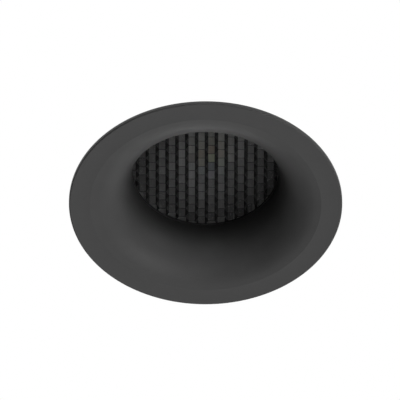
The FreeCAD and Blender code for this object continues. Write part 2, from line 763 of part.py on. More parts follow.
def cable_gland():
    """Gland body, its flat ring, the rubber seal, the dome nut and the nut inside the cover."""
    hexagon = {"Circumradius": "gland_corner", "Polygon": 6}
    body = new_body("gland_body")
    tail = "cover_top - cover_roof - gland_tail + 2.5"
    solid(body, "AdditivePrism", ("0", "0", "gland_seat"), Height="gland_hex_height", **hexagon)
    solid(body, "AdditiveCylinder", ("0", "0", tail),
          Radius="gland_thread", Height=f"gland_seat - ({tail}) + 0.5")
    solid(body, "AdditiveCylinder", ("0", "0", "gland_hex_top - 0.5"),
          Radius="gland_neck", Height="gland_neck_height + 0.5")
    solid(body, "SubtractiveCylinder", ("0", "0", f"{tail} - 1"),
          Radius="gland_bore", Height=f"gland_neck_top - ({tail}) + 2")
    solid(body, "SubtractiveCylinder", ("0", "0", "gland_seal_under"),
          Radius="gland_seal_outer + fit_clearance", Height="gland_neck_top")
    ring("gland_o_ring", "gland_thread + fit_clearance", "gland_ring_outer",
         "cover_top", "gland_seat")
    ring("gland_seal", "gland_seal_bore", "gland_seal_outer", "gland_seal_under",
         "gland_seal_top")
    body = new_body("gland_nut")
    low = "gland_hex_top + 0.3"
    solid(body, "AdditivePrism", ("0", "0", low), Height="gland_nut_hex", **hexagon)
    turned(body, outline(body, "XZ_Plane", [
        ("0", f"{low} + gland_nut_hex - 1"),
        ("gland_nut_crown", f"{low} + gland_nut_hex - 1"),
        ("gland_nut_crown", f"{low} + gland_nut_height - 2", "2", 1),
        ("gland_nut_crown - 2", f"{low} + gland_nut_height"),
        ("0", f"{low} + gland_nut_height"),
    ]))
    turned(body, outline(body, "XZ_Plane", [
        ("0", f"{low} - 1"),
        ("gland_neck + fit_clearance", f"{low} - 1"),
        ("gland_neck + fit_clearance", "gland_neck_top + 0.2"),
        ("gland_seal_outer + fit_clearance", "gland_neck_top + 0.2"),
        ("gland_seal_outer + fit_clearance", "gland_seal_top"),
        ("gland_bore", "gland_seal_top"),
        ("gland_bore", f"{low} + gland_nut_height + 1"),
        ("0", f"{low} + gland_nut_height + 1"),
    ]), cut=True)
    body = new_body("gland_locknut")
    under_roof = "cover_top - cover_roof - locknut_height"
    solid(body, "AdditivePrism", ("0", "0", under_roof), Height="locknut_height", **hexagon)
    solid(body, "SubtractiveCylinder", ("0", "0", f"{under_roof} - 1"),
          Radius="gland_thread + fit_clearance", Height="locknut_height + 2")


def clip_bracket(side):
    """Folded sheet: a plate on the heat sink's pad, two ears for the pin and a stop across."""
    body = new_body("clip_bracket_" + side, side == "left")
    half, face = "bracket_half_width", "clip_pad_face"
    solid(body, "AdditiveBox", (face, f"-{half}", "bracket_foot"),
          Length="bracket_sheet", Width=f"2 * {half}", Height="bracket_height")
    tip, top = f"{face} + bracket_reach", "bracket_foot + ear_height"
    ear = outline(body, "XZ_Plane", [
        (face, "bracket_foot"),
        (tip, "bracket_foot"),
        (tip, "pin_z", "ear_round", 1),
        (f"{tip} - ear_round", "pin_z + ear_round"),
        (f"{face} + bracket_sheet", top),
        (face, top),
    ])
    spread(body, ear, f"2 * {half}")
    between = outline(body, "XZ_Plane", [
        (f"{face} + bracket_sheet", "bracket_foot - 1"),
        (f"{tip} + 1", "bracket_foot - 1"),
        (f"{tip} + 1", f"{top} + 1"),
        (f"{face} + bracket_sheet", f"{top} + 1"),
    ])
    spread(body, between, "2 * ear_inner", cut=True)
    solid(body, "AdditiveBox", (f"{tip} - stop_depth", f"-{half}", "bracket_foot"),
          Length="stop_depth", Width=f"2 * {half}", Height="bracket_sheet")
    pin_hole = disc(body, "XZ_Plane", "pin_x", "pin_z", "pin_radius + fit_clearance")
    spread(body, pin_hole, f"2 * {half} + 2", cut=True)
    for level in ("bracket_screw_low", "bracket_screw_high"):
        solid(body, "SubtractiveCylinder", ("0", f"bracket_foot + {level}", f"{face} - 1"),
              "YZ_Plane", Radius="screw_radius + 2 * fit_clearance", Height="bracket_sheet + 2")
    solid(body, "SubtractiveCylinder",
          ("anchor_place", "pin_z + coil_radius", f"{face} - 1"),
          "YZ_Plane", Radius="anchor_hole", Height="bracket_sheet + 2")
    body = new_body("bracket_screws_" + side, side == "left")
    for level in ("bracket_screw_low", "bracket_screw_high"):
        screw(body, (f"{face} + bracket_sheet", "0", f"bracket_foot + {level}"), "screw_radius",
              "screw_head_radius", "screw_head_height", "bracket_screw_length - 0.2", "out")


def clip_arm(side):
    """Sheet arm with two cheeks on the pin, and the nylon foot pushed onto its tip.

    Both are drawn along the arm from the pin, in a sketch turned down by the arm's angle.
    """
    hinge, slope = ("pin_x", "pin_z", "0"), "-arm_angle"
    body = new_body("clip_arm_" + side, side == "left")
    cheek = outline(body, "XZ_Plane", [
        ("0", "cheek_radius", "cheek_radius", 1),
        ("-cheek_radius", "0", "cheek_radius", 1),
        ("0", "-cheek_radius"),
        ("cheek_end", "-half_web"),
        ("cheek_end", "half_web"),
    ], hinge, slope)
    spread(body, cheek, "arm_width")
    middle = outline(body, "XZ_Plane", [
        ("-cheek_radius - 1", "-cheek_radius - 1"),
        ("cheek_end + 0.5", "-cheek_radius - 1"),
        ("cheek_end + 0.5", "cheek_radius + 1"),
        ("-cheek_radius - 1", "cheek_radius + 1"),
    ], hinge, slope)
    spread(body, middle, "arm_width - 2 * arm_sheet", cut=True)
    web = outline(body, "XZ_Plane", [
        ("web_start", "-half_web"),
        ("arm_reach", "-half_web"),
        ("arm_reach", "half_web"),
        ("web_start", "half_web"),
    ], hinge, slope)
    spread(body, web, "arm_width")
    bore = disc(body, "XZ_Plane", "0", "0", "pin_radius + fit_clearance", hinge, slope)
    spread(body, bore, "arm_width + 2", cut=True)

    body = new_body("clip_foot_" + side, side == "left")
    under, over = "half_web + foot_under", "half_web + foot_over"
    tip = "arm_reach + foot_tip"
    shoe = outline(body, "XZ_Plane", [
        ("foot_start", f"-({under})"),
        (f"{tip} - foot_round", f"-({under})", "foot_round", 1),
        (tip, f"-({under}) + foot_round"),
        (tip, f"{over} - foot_round", "foot_round", 1),
        (f"{tip} - foot_round", over),
        ("foot_start", over),
    ], hinge, slope)
    spread(body, shoe, "foot_width")
    slot = outline(body, "XZ_Plane", [
        ("foot_start - 1", "-half_web"),
        ("arm_reach", "-half_web"),
        ("arm_reach", "half_web"),
        ("foot_start - 1", "half_web"),
    ], hinge, slope)
    spread(body, slot, "arm_width", cut=True)


def clip_pin(side):
    """Headed pin through the ears, kept by a snap ring at its far end."""
    body = new_body("clip_pin_" + side, side == "left")
    place = ("0", "pin_z", "pin_x")
    head = "bracket_half_width + pin_play"
    tail = "ring_place + ring_width"
    turned(body, outline(body, "YZ_Plane", [
        (f"-({head}) - pin_head", "0"),
        (f"-({head}) - pin_head", "pin_head_radius"),
        (f"-({head})", "pin_head_radius"),
        (f"-({head})", "pin_radius"),
        ("ring_place", "pin_radius"),
        ("ring_place", "ring_groove"),
        (tail, "ring_groove"),
        (tail, "pin_radius"),
        (f"{tail} + pin_tail", "pin_radius"),
        (f"{tail} + pin_tail", "0"),
    ], place), "H_Axis")
    body = new_body("pin_clip_" + side, side == "left")
    turned(body, outline(body, "YZ_Plane", [
        ("ring_place", "ring_groove"),
        (tail, "ring_groove"),
        (tail, "ring_outer"),
        ("ring_place", "ring_outer"),
    ], place), "H_Axis", angle=300.0)


def two_arcs(start, leaving, finish, arriving):
    """The pair of arcs that joins two points with given unit directions."""
    gap, both = finish - start, leaving + arriving
    turn = 2 * (1 - leaving.dot(arriving))
    half = gap.dot(both)
    reach = (math.sqrt(half ** 2 + turn * gap.dot(gap)) - half) / turn
    corners = (start + leaving * reach, finish - arriving * reach)
    joint = (corners[0] + corners[1]) * 0.5
    arcs = []
    for first, corner, last in ((start, corners[0], joint), (joint, corners[1], finish)):
        chord_middle = (first + last) * 0.5
        up = corner - chord_middle
        half_chord = (last - first).Length / 2
        radius = reach * half_chord / up.Length
        rise = radius - math.sqrt(radius ** 2 - half_chord ** 2)
        arcs.append(Part.Arc(first, chord_middle + up.normalize() * rise, last).toShape())
    return arcs


def torsion_spring(side):
    """Wire coil on the pin: one leg hooks the bracket plate, the other presses on the arm.

    The coil turns clockwise seen from -Y, from the top of the pin to where the tangent to the
    arm leaves it, and steps along -Y by its pitch.
    """
    wire, radius, pitch = number("spring_wire") / 2, number("coil_radius"), number("coil_pitch")
    pin = Vector(number("pin_x"), 0, number("pin_z"))
    rest = number("leg_reach")
    lift = number("half_web") + wire + number("leg_seat")
    away = math.hypot(rest, lift)
    leave = math.atan2(lift, rest) + math.acos(radius / away) - math.radians(number("arm_angle"))
    sweep = 2 * math.pi * number("coil_full_turns") + math.pi / 2 - leave
    start_y = number("coil_half_length")
    climb = pitch / (2 * math.pi)

    def spot(angle):
        turned_by = math.pi / 2 - angle
        return pin + Vector(radius * math.cos(angle), start_y - climb * turned_by,
                            radius * math.sin(angle))

    def heading(angle):
        return Vector(radius * math.sin(angle), -climb, -radius * math.cos(angle)).normalize()

    steps = int(math.ceil(sweep / (math.pi / 2)))
    angles = [math.pi / 2 - sweep * k / steps for k in range(steps + 1)]
    first, last = spot(angles[0]), spot(angles[-1])
    anchor = first - heading(angles[0]) * (number("pin_out") - 0.3)
    tip = last + heading(angles[-1]) * math.sqrt(away ** 2 - radius ** 2)
    edges = [Part.LineSegment(anchor, first).toShape()]
    for begin, end in zip(angles, angles[1:]):
        edges += two_arcs(spot(begin), heading(begin), spot(end), heading(end))
    edges.append(Part.LineSegment(last, tip).toShape())
    path = Part.Wire(edges)
    section = Part.Wire(Part.makeCircle(wire, anchor, first - anchor))
    item = doc.addObject("Part::Feature", "torsion_spring_" + side)
    item.Label = "torsion_spring_" + side
    item.Shape = path.makePipeShell([section], True, False)
    if side == "left":
        item.Placement = FreeCAD.Placement(Vector(), FreeCAD.Rotation(Vector(0, 0, 1), 180))
    finest = 96
    line = [spot(math.pi / 2 - 2 * math.pi * k / finest) for k in range(int(sweep / math.pi * 48))]
    least = min((line[i] - line[j]).Length for i in range(len(line))
                for j in range(i + finest // 2, len(line)))
    volume = math.pi * wire ** 2 * path.Length
    print(f"torsion_spring_{side}: least gap {least - 2 * wire:.2f} mm, "
          f"volume {item.Shape.Volume:.1f} of {volume:.1f} mm3")


trim_bezel()
ring("soffit_gasket", "gasket_inner", "gasket_outer", "trim_back", "0")
louvre_honeycomb()
louvre_ring()
louvre_circlip()
ring("front_glass", "0", "glass_radius", "glass_under", "glass_top")
glass_seal()
heat_sink()
light_engine()
reflector()
wire_grommet()
lead("lead_positive", 1)
lead("lead_negative", -1)
terminal_block()
rear_cover()
ring("rear_cover_gasket", "seal_groove_inner", "seal_groove_outer",
     "plate_top - seal_groove_depth", "plate_top")
cable_gland()
screw_sets()
for clip_side in ("right", "left"):
    clip_bracket(clip_side)
    clip_arm(clip_side)
    clip_pin(clip_side)
    torsion_spring(clip_side)

doc.recompute()
faults = [f"{item.Name}: {item.State}" for item in doc.Objects
          if "Invalid" in item.State or "Error" in item.State]
subparts = [item for item in doc.Objects
            if item.TypeId == "PartDesign::Body" or item.TypeId == "Part::Feature"]
for item in subparts:
    if item.Shape.isNull() or not item.Shape.isValid():
        faults.append(item.Label + ": no valid shape")
if faults:
    raise SystemExit("\n".join(faults))

os.makedirs("parts", exist_ok=True)
for item in subparts:
    item.Shape.exportStep(f"parts/{item.Label}.step")
    box = item.Shape.BoundBox
    print(f"{item.Label}: {len(item.Shape.Solids)} solids, {item.Shape.Volume:.1f} mm3, "
          f"x {box.XMin:.2f} {box.XMax:.2f} y {box.YMin:.2f} {box.YMax:.2f} "
          f"z {box.ZMin:.2f} {box.ZMax:.2f}")
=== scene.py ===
"""Soffit downlight: finishes, fine surfaces, soffit board, camera and lights.

Metres, in the frame's axes: the origin is on the lamp's axis in the plane of the soffit's
underside, +Z goes up into the ceiling void, and the spring clips lie along X.
"""

import json

import bpy
import numpy as np
from mathutils import Matrix, Vector


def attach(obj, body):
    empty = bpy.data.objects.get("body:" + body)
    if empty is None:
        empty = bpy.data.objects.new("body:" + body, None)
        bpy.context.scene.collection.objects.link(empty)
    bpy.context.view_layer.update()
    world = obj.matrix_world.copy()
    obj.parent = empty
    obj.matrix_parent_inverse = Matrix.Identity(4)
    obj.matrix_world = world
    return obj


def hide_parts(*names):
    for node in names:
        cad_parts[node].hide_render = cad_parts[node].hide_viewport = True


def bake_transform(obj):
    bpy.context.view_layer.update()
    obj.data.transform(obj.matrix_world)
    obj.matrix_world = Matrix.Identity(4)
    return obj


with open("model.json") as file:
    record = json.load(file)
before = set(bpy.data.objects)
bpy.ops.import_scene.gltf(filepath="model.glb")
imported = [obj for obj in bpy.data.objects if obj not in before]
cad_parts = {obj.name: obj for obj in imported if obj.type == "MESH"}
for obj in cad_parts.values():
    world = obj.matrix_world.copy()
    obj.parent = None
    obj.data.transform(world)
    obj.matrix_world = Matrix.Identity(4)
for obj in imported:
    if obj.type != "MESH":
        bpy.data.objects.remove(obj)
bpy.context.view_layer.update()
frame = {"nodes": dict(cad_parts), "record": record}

MM = 0.001
TURN = 2 * np.pi

# ---------------------------------------------------------------- surfaces


def linear(code):
    """An sRGB hex colour as linear RGBA."""
    value = np.array([int(code[i:i + 2], 16) for i in (1, 3, 5)]) / 255
    value = np.where(value <= 0.04045, value / 12.92, ((value + 0.055) / 1.055) ** 2.4)
    return (*value.tolist(), 1.0)


def rounded(corners, steps=5):
    """A closed profile (radius, height) in mm whose corners are arcs.

    Each corner is (r, z, size). The arc of that radius touches both sides at
    size / tan(half the inner angle) from the corner, and a point 0.05 mm outside each end of the
    arc keeps the flats flat in smooth shading.
    """
    spots = np.array([corner[:2] for corner in corners], float)
    sizes = np.array([corner[2] for corner in corners], float)
    back, ahead = np.roll(spots, 1, 0) - spots, np.roll(spots, -1, 0) - spots
    run_back, run_ahead = np.linalg.norm(back, axis=1), np.linalg.norm(ahead, axis=1)
    back, ahead = back / run_back[:, None], ahead / run_ahead[:, None]
    half = np.arccos(np.clip((back * ahead).sum(1), -1, 1)) / 2
    reach = np.minimum(sizes / np.tan(np.maximum(half, 1e-3)), 0.45 * np.minimum(run_back, run_ahead))
    reach = np.where(half > 1.56, 0, reach)
    radius = reach * np.tan(half)
    middle = back + ahead
    middle /= np.maximum(np.linalg.norm(middle, axis=1), 1e-9)[:, None]
    centre = spots + middle * (radius / np.maximum(np.sin(half), 1e-6))[:, None]
    made = []
    for k in range(len(spots)):
        if sizes[k] <= 0 or reach[k] <= 0:
            made.append(spots[k:k + 1])
            continue
        first, last = spots[k] + back[k] * reach[k], spots[k] + ahead[k] * reach[k]
        share = np.linspace(0, 1, steps)[:, None]
        chord = first * (1 - share) + last * share - centre[k]
        arc = centre[k] + chord / np.linalg.norm(chord, axis=1)[:, None] * radius[k]
        lead_in = first + back[k] * min(0.05, 0.3 * (run_back[k] - reach[k]))
        lead_out = last + ahead[k] * min(0.05, 0.3 * (run_ahead[k] - reach[k]))
        made += [lead_in[None], arc, lead_out[None]]
    return np.concatenate(made)


def bend_of(centre, radius, start, end, steps):
    """Points of an arc in the (radius, height) plane, angles in degrees from the +radius axis."""
    angle = np.radians(np.linspace(start, end, steps))
    return np.stack([centre[0] + radius * np.cos(angle), centre[1] + radius * np.sin(angle)], 1)


def wrapped(rows, columns, close_rows=True, close_columns=True, offset=0):
    """Quads of a grid of rows x columns points, joined round either way."""
    i = np.arange(rows if close_rows else rows - 1)[:, None]
    j = np.arange(columns if close_columns else columns - 1)[None]
    i2, j2 = (i + 1) % rows, (j + 1) % columns
    quads = np.stack(np.broadcast_arrays(i * columns + j, i2 * columns + j,
                                         i2 * columns + j2, i * columns + j2), -1)
    return quads.reshape(-1, 4) + offset


def spun(profile, count=240, place=(0, 0), start=0.0):
    """Closed surface of revolution: (r cos a + x, r sin a + y, z) for each profile point and angle a."""
    angle = start + np.linspace(0, TURN, count, endpoint=False)
    r, z = profile[:, :1], profile[:, 1:]
    points = np.stack([place[0] + r * np.cos(angle), place[1] + r * np.sin(angle),
                       np.broadcast_to(z, (len(profile), count))], -1)
    return points.reshape(-1, 3), wrapped(len(profile), count)


def joined(*shapes):
    """Several (points, quads) as one."""
    points, quads, offset = [], [], 0
    for spots, faces in shapes:
        points.append(spots)
        quads.append(faces + offset)
        offset += len(spots)
    return np.concatenate(points), np.concatenate(quads)


def outward(points, quads):
    """The quads turned so that the signed volume, the sum of corner products over faces, is positive."""
    a, b, c, d = (points[quads[:, k]] for k in range(4))
    volume = (a * np.cross(b, c)).sum() + (a * np.cross(c, d)).sum()
    return quads if volume > 0 else quads[:, ::-1]


def piece(name, shapes, material, attributes=()):
    """A smooth mesh from closed shapes in millimetres, each turned to face outwards."""
    points, quads = joined(*[(spots, outward(spots, faces)) for spots, faces in shapes])
    mesh = bpy.data.meshes.new(name)
    mesh.vertices.add(len(points))
    mesh.vertices.foreach_set("co", (points * MM).astype(np.float32).ravel())
    mesh.loops.add(quads.size)
    mesh.loops.foreach_set("vertex_index", quads.astype(np.int32).ravel())
    mesh.polygons.add(len(quads))
    mesh.polygons.foreach_set("loop_start", np.arange(0, quads.size, 4, dtype=np.int32))
    mesh.polygons.foreach_set("use_smooth", np.ones(len(quads), bool))
    for label, values in dict(attributes).items():
        made = mesh.attributes.new(label, "FLOAT", "FACE")
        made.data.foreach_set("value", values.astype(np.float32))
    mesh.update(calc_edges=True)
    mesh.validate()
    mesh.materials.append(material)
    item = bpy.data.objects.new(name, mesh)
    bpy.context.collection.objects.link(item)
    return item


# ---------------------------------------------------------------- finishes


def add(tree, kind, sockets=(), **settings):
    """Adds a shader node, sets its settings, and gives each named input a value or a link."""
    made = tree.nodes.new("ShaderNode" + kind)
    for name, value in settings.items():
        setattr(made, name, value)
    for name, value in dict(sockets).items():
        if isinstance(value, bpy.types.NodeSocket):
            tree.links.new(value, made.inputs[name])
        else:
            made.inputs[name].default_value = value
    return made


def finish(name, colours, patch=6.0, rough=(0.4, 0.5), grain=0.5, depth=0.01, metallic=0.0,
           streak=None, soften=0.2, worn=None, wear=0.5, **shader):
    """A moulded, cast, coated or metal finish. Lengths are in millimetres.

    colours: two tones that drift over `patch`. rough: the range it drifts over. grain and depth:
    spacing and height of the surface's texture. streak: spacing across drawn or brushed lines,
    with the axis they follow. soften: edge rounding seen in the shading. worn: tone of edges.
    """
    material = bpy.data.materials.new(name)
    material.use_nodes = True
    tree = material.node_tree
    surface = tree.nodes["Principled BSDF"]
    place = add(tree, "TexCoord").outputs["Object"]
    drift = add(tree, "TexNoise", {"Vector": place, "Scale": 1000 / patch, "Detail": 4.0, "Roughness": 0.6})
    fine = add(tree, "TexNoise", {"Vector": place, "Scale": 1000 / grain, "Detail": 3.0, "Roughness": 0.55})
    height = fine.outputs["Fac"]
    tone = add(tree, "MapRange", {"Value": drift.outputs["Fac"], "From Min": 0.3, "From Max": 0.7})
    gloss = fine.outputs["Fac"]
    if streak:
        spacing, axis = streak
        scale = [1000 / spacing] * 3
        scale["XYZ".index(axis)] = 1000 / (spacing * 40)
        along = add(tree, "Mapping", {"Vector": place, "Scale": scale})
        lines = add(tree, "TexNoise", {"Vector": along.outputs[0], "Scale": 1.0, "Detail": 3.0,
                                       "Roughness": 0.7})
        height = add(tree, "Math", {0: height, 1: lines.outputs["Fac"]}, operation="ADD").outputs[0]
        gloss = lines.outputs["Fac"]
    colour = add(tree, "Mix", {0: tone.outputs[0], 6: linear(colours[0]), 7: linear(colours[1])},
                 data_type="RGBA").outputs[2]
    mixed = add(tree, "Math", {0: gloss, 1: drift.outputs["Fac"]}, operation="ADD").outputs[0]
    shine = add(tree, "MapRange", {"Value": mixed, "From Min": 0.7, "From Max": 1.3,
                                   "To Min": rough[0], "To Max": rough[1]}).outputs[0]
    bump = add(tree, "Bump", {"Height": height, "Distance": depth * MM, "Strength": 1.0})
    if soften:
        edge = add(tree, "Bevel", {"Radius": soften * MM}, samples=4)
        tree.links.new(edge.outputs[0], bump.inputs["Normal"])
        if worn:
            flat = add(tree, "NewGeometry").outputs["Normal"]
            near = add(tree, "VectorMath", {0: flat, 1: edge.outputs[0]}, operation="DOT_PRODUCT")
            amount = add(tree, "MapRange", {"Value": near.outputs["Value"], "From Min": 0.995,
                                            "From Max": 0.86}).outputs[0]
            ragged = add(tree, "MapRange", {"Value": drift.outputs["Fac"], "From Min": 0.4,
                                            "From Max": 0.62, "To Max": wear}).outputs[0]
            amount = add(tree, "Math", {0: amount, 1: ragged}, operation="MULTIPLY").outputs[0]
            colour = add(tree, "Mix", {0: amount, 6: colour, 7: linear(worn)}, data_type="RGBA").outputs[2]
    tree.links.new(colour, surface.inputs["Base Color"])
    tree.links.new(shine, surface.inputs["Roughness"])
    tree.links.new(bump.outputs[0], surface.inputs["Normal"])
    surface.inputs["Metallic"].default_value = metallic
    for socket, value in shader.items():
        surface.inputs[socket.replace("_", " ")].default_value = value
    return material


def foil():
    """Aluminium foil honeycomb under a thin black lacquer. Its colours are painted light: the glued
    walls, which stay flat, get a pale painted highlight with painted reflection tints of the
    light chamber, the single walls a dark grey painted shade, and the cut edges are drawn
    near-black. `wall` on the mesh is 0 on a cut edge, 1 on a single wall and 2 on a glued one;
    `tone` is each wall's own number, `glint` says how strong the painted reflection of the light
    chamber's colour is, `hue` which tint, and `fade` how much of the painted highlight is kept,
    the rest being painted shade."""
    material = bpy.data.materials.new("lacquered_foil")
    material.use_nodes = True
    tree = material.node_tree
    surface = tree.nodes["Principled BSDF"]
    place = add(tree, "TexCoord").outputs["Object"]
    wall = add(tree, "Attribute", attribute_name="wall").outputs["Fac"]
    tone = add(tree, "Attribute", attribute_name="tone").outputs["Fac"]
    glint = add(tree, "Attribute", attribute_name="glint").outputs["Fac"]
    fade = add(tree, "Attribute", attribute_name="fade").outputs["Fac"]
    crumple = add(tree, "TexNoise", {"Vector": place, "Scale": 900.0, "Detail": 4.0, "Roughness": 0.7})
    streaks = add(tree, "Mapping", {"Vector": place, "Scale": (2600.0, 2600.0, 260.0)})
    rolled = add(tree, "TexNoise", {"Vector": streaks.outputs[0], "Scale": 1.0, "Detail": 2.0})
    shown = add(tree, "Math", {0: tone, 1: crumple.outputs["Fac"]}, operation="ADD").outputs[0]
    shown = add(tree, "Math", {0: shown, 1: rolled.outputs["Fac"]}, operation="ADD").outputs[0]
    shown = add(tree, "MapRange", {"Value": shown, "From Min": 0.5, "From Max": 2.3}).outputs[0]
    # Painted light on one foil: a dark grey painted shade for the single walls and a pale grey painted
    # highlight for the glued walls.
    single = add(tree, "Mix", {0: shown, 6: linear("#262626"), 7: linear("#444444")},
                 data_type="RGBA").outputs[2]
    double = add(tree, "Mix", {0: shown, 6: linear("#acacac"), 7: linear("#f0f0f0")},
                 data_type="RGBA").outputs[2]
    # Painted reflection: tints of the light chamber's colour, multiplied into the glued walls as strongly as
    # glint says, with hue picking the tint.
    hue = add(tree, "Attribute", attribute_name="hue").outputs["Fac"]
    lit = add(tree, "ValToRGB", {"Fac": hue})
    stops = lit.color_ramp.elements
    stops[0].position, stops[0].color = 0.0, linear("#f8ffba")
    stops[1].position, stops[1].color = 1.0, linear("#dcdcff")
    for place_at, code in ((0.22, "#fff4b6"), (0.42, "#ffddcc"), (0.62, "#eeffc4"), (0.82, "#cffaea")):
        stops.new(place_at).color = linear(code)
    double = add(tree, "Mix", {0: glint, 6: double, 7: lit.outputs["Color"]}, data_type="RGBA",
                 blend_type="MULTIPLY").outputs[2]
    # Painted shade: the glued walls' painted highlight sinks towards near-black where fade is low.
    double = add(tree, "Mix", {0: fade, 6: linear("#0a0a0a"), 7: double}, data_type="RGBA").outputs[2]
    # Bright specks on the glued walls: partly dust, partly painted glints.
    dust_and_glint_specks = add(tree, "TexNoise", {"Vector": place, "Scale": 2200.0, "Detail": 1.0}).outputs["Fac"]
    dust_and_glint_specks = add(tree, "MapRange", {"Value": dust_and_glint_specks, "From Min": 0.65, "From Max": 0.72, "To Max": 0.6})
    double = add(tree, "Mix", {0: dust_and_glint_specks.outputs[0], 6: double, 7: linear("#d8d8d8")},
                 data_type="RGBA").outputs[2]
    glued = add(tree, "Math", {0: wall, 1: 1.5}, operation="GREATER_THAN").outputs[0]
    inner = add(tree, "Math", {0: wall, 1: 0.5}, operation="GREATER_THAN").outputs[0]
    walls = add(tree, "Mix", {0: glued, 6: single, 7: double}, data_type="RGBA").outputs[2]
    # The cut edges are drawn near-black.
    colour = add(tree, "Mix", {0: inner, 6: linear("#060606"), 7: walls}, data_type="RGBA").outputs[2]
    shine = add(tree, "MapRange", {"Value": crumple.outputs["Fac"], "To Min": 0.45,
                                   "To Max": 0.75}).outputs[0]
    bump = add(tree, "Bump", {"Height": crumple.outputs["Fac"], "Distance": 0.03 * MM})
    tree.links.new(colour, surface.inputs["Base Color"])
    tree.links.new(shine, surface.inputs["Roughness"])
    tree.links.new(bump.outputs[0], surface.inputs["Normal"])
    surface.inputs["Specular IOR Level"].default_value = 0.2
    return material


finishes = {
    "trim_black": finish("powder_coat_black", ("#2f2f2f", "#353535"), patch=9, rough=(0.56, 0.62),
                         grain=0.45, depth=0.004, soften=0),
    "gasket_foam": finish("foam_black", ("#1d1d1e", "#2a2a2b"), patch=1.2, rough=(0.8, 0.95),
                          grain=0.4, depth=0.12),
    "louvre_foil": foil(),
    "louvre_ring_black": finish("painted_aluminium_black", ("#141414", "#1c1c1c"), rough=(0.6, 0.7),
                                depth=0.006, Specular_IOR_Level=0.25),
    "spring_steel": finish("zinc_wire", ("#9a9b9b", "#b3b4b2"), patch=3, rough=(0.22, 0.38), grain=0.15,
                           depth=0.004, metallic=1.0, soften=0),
    "clear_glass": finish("toughened_glass", ("#eef6f2", "#f6fbf9"), patch=20, rough=(0.0, 0.03), grain=4,
                          depth=0.001, soften=0.3, Transmission_Weight=1.0, IOR=1.52),
    "silicone": finish("silicone_grey", ("#a3a39f", "#b0b0ab"), patch=4, rough=(0.45, 0.6),
                       depth=0.008, soften=0.3),
    "cast_black": finish("powder_coat_casting", ("#252628", "#2f3032"), patch=10, rough=(0.42, 0.58),
                         grain=0.7, depth=0.03, soften=0.35, worn="#6d6e6f", wear=0.25),
    "pad_grey": finish("thermal_pad", ("#7d8488", "#8b9296"), patch=2, rough=(0.7, 0.85), depth=0.02),
    "board_aluminium": finish("milled_aluminium", ("#c4c5c6", "#d2d3d3"), rough=(0.25, 0.4), grain=0.3,
                              depth=0.005, metallic=1.0, streak=(0.12, "X")),
    "phosphor": finish("phosphor_silicone", ("#d9b52e", "#e6c84a"), patch=1.5, rough=(0.35, 0.5), depth=0.02),
    "holder_white": finish("moulded_pbt_white", ("#dcdcd8", "#e6e6e3"), patch=7,
                           rough=(0.35, 0.5), depth=0.008),
    "reflector_bright": finish("metallised_plastic", ("#d6d7d8", "#e2e3e4"), patch=12, rough=(0.06, 0.14),
                               grain=1.2, depth=0.003, metallic=1.0),
    "lead_red": finish("lead_sleeve_red", ("#8e1b17", "#a3241e"), patch=3, rough=(0.35, 0.5), depth=0.006),
    "lead_black": finish("lead_sleeve_black", ("#161617", "#222223"), patch=3,
                         rough=(0.35, 0.5), depth=0.006),
    "terminal_white": finish("nylon_natural", ("#d3d1c6", "#dddbd1"), patch=5, rough=(0.35, 0.5), depth=0.01),
    "cover_black": finish("glass_filled_nylon", ("#1e1f20", "#2a2b2c"), patch=5, rough=(0.45, 0.62),
                          grain=0.35, depth=0.02, soften=0.3, worn="#4a4b4c", wear=0.3),
    "gland_nylon": finish("moulded_nylon_black", ("#18191a", "#232425"), patch=4, rough=(0.38, 0.52),
                          grain=0.4, depth=0.012, soften=0.25, worn="#444546", wear=0.4),
    "seal_rubber": finish("epdm_rubber", ("#131314", "#1d1d1e"), patch=2, rough=(0.65, 0.85),
                          grain=0.25, depth=0.015),
    "zinc_steel": finish("zinc_plated_steel", ("#a9adb0", "#c0c2c0"), patch=4, rough=(0.26, 0.42), grain=0.6,
                         depth=0.006, metallic=1.0, streak=(0.2, "Z"), soften=0.15, worn="#8d8f90", wear=0.5),
    "foot_nylon": finish("foot_elastomer", ("#2c2d2e", "#38393a"), patch=3, rough=(0.5, 0.68), grain=0.3,
                         depth=0.02, soften=0.3, worn="#5a5b5c", wear=0.5),
    "stainless": finish("stainless_a2", ("#b2b2ae", "#c6c6c2"), patch=2, rough=(0.2, 0.34), grain=0.3,
                        depth=0.004, metallic=1.0, soften=0.12),
}

slots = {row["node"]: row["material_slot"] for row in frame["record"]["subparts"]}
for label, item in frame["nodes"].items():
    item.data.materials.clear()
    item.data.materials.append(finishes[slots[label]])

# ---------------------------------------------------------------- trim bezel

THROAT, FLARE, FLARE_Z = 25.7, 15.9, 13.3   # throat's radius, flare's radius, height of its centre
FACE, RIM = FLARE_Z - FLARE, THROAT + FLARE   # flange's face, radius of the flare's centre
SHELL = FLARE - 2.0                           # radius of the flare's back, 2 mm behind its face
BREAK = 10.0                                  # slope in degrees at the line on the flat rim
FLANGE_EDGE, FLANGE_BACK = 47.5, -1.0
SPIGOT, SPIGOT_TOP = 39.5, 4.0
COLLAR, COLLAR_TOP = 31.5, 23.55
BORE, BORE_FLOOR = 27.1, 15.35                # the louvre's counterbore
GROOVE, GROOVE_LOW, GROOVE_HIGH = 27.65, 21.75, 22.75
BOSS, BOSS_HOLE, BOSS_FLOOR, BOSS_RING = 3.4, 1.55, 14.55, 34.5


